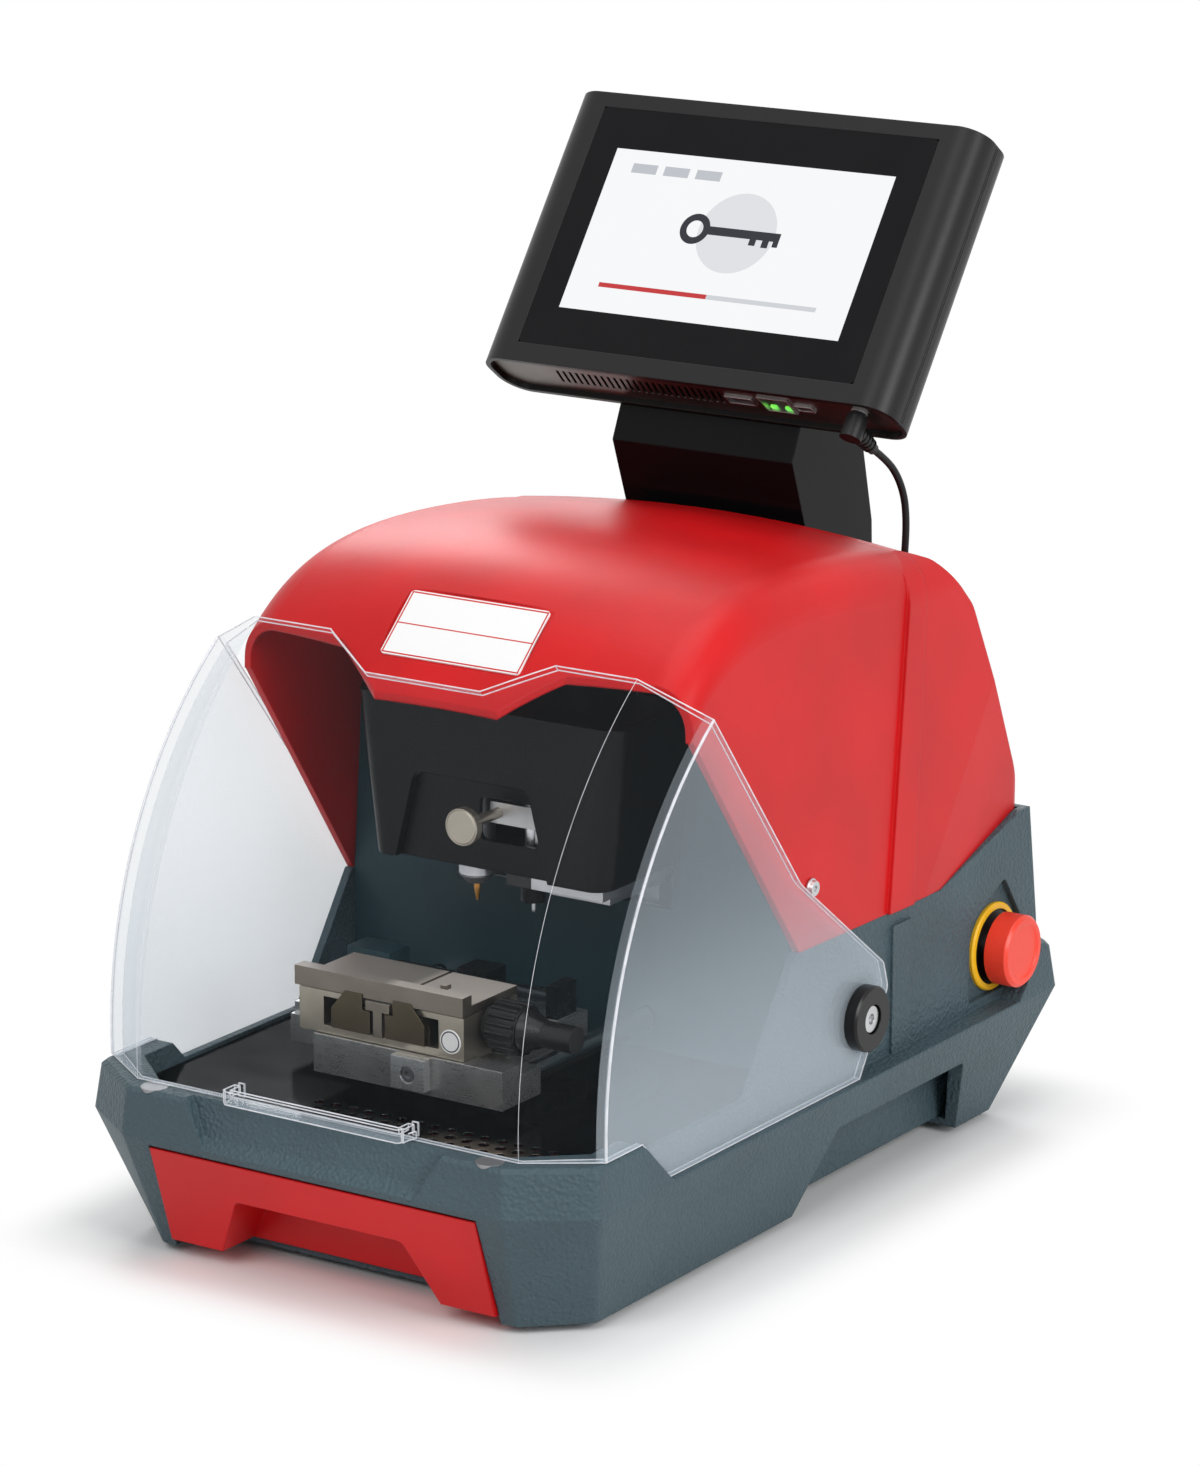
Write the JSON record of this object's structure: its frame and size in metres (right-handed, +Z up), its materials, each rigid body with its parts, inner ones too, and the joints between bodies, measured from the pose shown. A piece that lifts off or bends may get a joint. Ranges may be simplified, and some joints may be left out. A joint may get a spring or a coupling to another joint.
{
  "type": "key duplicating machine",
  "caption": "Bench key duplicating machine with a hinged clear guard over a sliding key clamp and cutting spindle, a tilted touch display on a neck, an emergency stop and a chip drawer.",
  "frame": {"origin": "on the floor under the middle of the machine", "axes": "+X towards the machine's right, +Y towards its back, +Z up"},
  "size_m": [0.2808, 0.43, 0.4804],
  "materials": {
    "slate_plastic": "pebbled moulding",
    "red_plastic": "satin moulding",
    "clear_guard": "clear polycarbonate",
    "black_plastic": "fine grained moulding",
    "black_metal": "black powder coat",
    "nickel": "satin nickel plate",
    "dark_steel": "blackened steel",
    "polished_steel": "mirror polished",
    "steel": "machined",
    "chrome": "chromed",
    "carbide": "coated tool tip",
    "aluminium": "cast and machined",
    "iron": "painted casting",
    "rubber": "soft rubber",
    "screen_glass": "black bonded glass",
    "panel": "lit panel",
    "board": "circuit board",
    "badge": "plain printed plate",
    "yellow_plastic": "gloss moulding",
    "cap_red": "gloss moulding",
    "cable": "lead sheath"
  },
  "bodies": {
    "machine": {"base_housing": "slate_plastic", "bottom_pan": "black_metal", "rubber_feet": "rubber", "rim_magnets": "steel", "chamber_back_wall": "black_metal", "chip_tray": "polished_steel", "hood": "red_plastic", "hood_screws": "chrome", "badge_plate": "badge", "pivot_spacers": "black_plastic", "pivot_knobs": "black_plastic", "pivot_screws": "chrome", "estop_collar": "yellow_plastic", "estop_block": "black_plastic", "display_neck": "black_plastic", "display_rear_shell": "black_plastic", "display_front_frame": "black_plastic", "display_glass": "screen_glass", "screen_panel": "panel", "display_end_plates": "black_metal", "display_ports": "steel", "dc_plug": "cable", "display_cable": "cable", "cable_grommet": "rubber", "mains_inlet": "black_plastic", "frame_column": "iron", "column_rails": "steel", "z_motor": "black_metal", "y_motor": "black_metal", "shaft_bushes": "aluminium", "power_supply": "aluminium", "control_board": "board"},
    "guard": {"guard_shield": "clear_guard"},
    "drawer": {"chip_drawer": "red_plastic"},
    "stop_plunger": {"estop_stem": "black_plastic"},
    "stop_cap": {"estop_cap": "cap_red"},
    "switch_rocker": {"power_switch": "black_plastic"},
    "table": {"table_plate": "polished_steel", "table_shafts": "chrome", "x_motor": "black_metal"},
    "cross_screw": {"x_screw": "steel"},
    "depth_screw": {"y_screw": "steel"},
    "lift_screw": {"z_screw": "steel"},
    "carriage": {"clamp_body": "nickel"},
    "left_jaw": {"jaw_left": "dark_steel"},
    "right_jaw": {"jaw_right": "dark_steel"},
    "upper_jaw": {"top_jaw": "nickel"},
    "clamp_handle": {"clamp_knob": "black_plastic", "clamp_screw": "steel"},
    "head": {"head_plate": "aluminium", "head_cover": "black_plastic", "spindle_housing": "steel", "tracer_holder": "black_metal", "spindle_motor": "black_metal", "drive_belt": "rubber"},
    "spindle_rotor": {"spindle": "steel", "cutter": "carbide"},
    "drive_pulley": {"motor_pulley": "aluminium"},
    "tracer": {"tracer_pin": "steel"},
    "lock_screw": {"thumb_screw": "nickel"}
  },
  "joints": [
    {"name": "guard_hinge", "type": "hinge", "parent": "machine", "child": "guard", "pos_m": [0, 0.0295, 0.091], "axis": [-1, 0, 0], "range_deg": [0, 52]},
    {"name": "drawer_slide", "type": "slide", "parent": "machine", "child": "drawer", "axis": [0, -1, 0], "range_m": [0, 0.12]},
    {"name": "estop_press", "type": "slide", "parent": "machine", "child": "stop_plunger", "axis": [-1, 0, 0], "range_m": [0, 0.004], "stiffness_N_per_m": 2500},
    {"name": "estop_twist", "type": "hinge", "parent": "stop_plunger", "child": "stop_cap", "pos_m": [0.134, 0.17, 0.087], "axis": [1, 0, 0], "range_deg": [-40, 0], "stiffness_Nm_per_rad": 0.06},
    {"name": "switch_rock", "type": "hinge", "parent": "machine", "child": "switch_rocker", "pos_m": [0.007, 0.19978, 0.10313], "axis": [1, 0, 0], "range_deg": [0, 10]},
    {"name": "table_slide", "type": "slide", "parent": "machine", "child": "table", "axis": [0, 1, 0], "range_m": [-0.02, 0.02]},
    {"name": "carriage_slide", "type": "slide", "parent": "table", "child": "carriage", "axis": [1, 0, 0], "range_m": [-0.036, 0.03]},
    {"name": "head_slide", "type": "slide", "parent": "machine", "child": "head", "axis": [0, 0, 1], "range_m": [-0.014, 0.02]},
    {"name": "depth_screw_turn", "type": "hinge", "parent": "machine", "child": "depth_screw", "pos_m": [-0.014, 0, 0.086], "axis": [0, 1, 0], "range_deg": [-1805, 1805]},
    {"name": "cross_screw_turn", "type": "hinge", "parent": "table", "child": "cross_screw", "pos_m": [-0.014, -0.06, 0.105], "axis": [1, 0, 0], "range_deg": [-3245, 2705]},
    {"name": "lift_screw_turn", "type": "hinge", "parent": "machine", "child": "lift_screw", "pos_m": [0, 0.0004, 0.19], "axis": [0, 0, 1], "range_deg": [-1265, 1805]},
    {"name": "spindle_spin", "type": "hinge", "parent": "head", "child": "spindle_rotor", "pos_m": [-0.0155, -0.062, 0.18], "axis": [0, 0, 1], "continuous": true},
    {"name": "pulley_spin", "type": "hinge", "parent": "head", "child": "drive_pulley", "pos_m": [0.03, -0.036, 0.219], "axis": [0, 0, 1], "continuous": true},
    {"name": "tracer_press", "type": "slide", "parent": "head", "child": "tracer", "axis": [0, 0, 1], "range_m": [0, 0.003], "stiffness_N_per_m": 600},
    {"name": "lock_screw_turn", "type": "hinge", "parent": "head", "child": "lock_screw", "pos_m": [0, -0.08, 0.19], "axis": [0, 1, 0], "range_deg": [-180, 180]},
    {"name": "clamp_turn", "type": "hinge", "parent": "carriage", "child": "clamp_handle", "pos_m": [0.03, -0.119, 0.11], "axis": [1, 0, 0], "range_deg": [-363, 363]},
    {"name": "left_jaw_slide", "type": "slide", "parent": "carriage", "child": "left_jaw", "axis": [1, 0, 0], "range_m": [-0.0015, 0.0015]},
    {"name": "right_jaw_slide", "type": "slide", "parent": "carriage", "child": "right_jaw", "axis": [-1, 0, 0], "range_m": [-0.00152, 0.00152]},
    {"name": "upper_jaw_slide", "type": "slide", "parent": "carriage", "child": "upper_jaw", "axis": [0, 0, -1], "range_m": [-0.00061, 0.00061]}
  ],
  "couplings": [
    {"joint": "depth_screw_turn", "follows": "table_slide", "rad_per_m": 1570.8},
    {"joint": "cross_screw_turn", "follows": "carriage_slide", "rad_per_m": 1570.8},
    {"joint": "lift_screw_turn", "follows": "head_slide", "rad_per_m": 1570.8},
    {"joint": "pulley_spin", "follows": "spindle_spin", "ratio": 1.375},
    {"joint": "clamp_turn", "follows": "left_jaw_slide", "rad_per_m": 4188.8},
    {"joint": "right_jaw_slide", "follows": "left_jaw_slide", "ratio": 1},
    {"joint": "upper_jaw_slide", "follows": "left_jaw_slide", "ratio": 0.4}
  ]
}
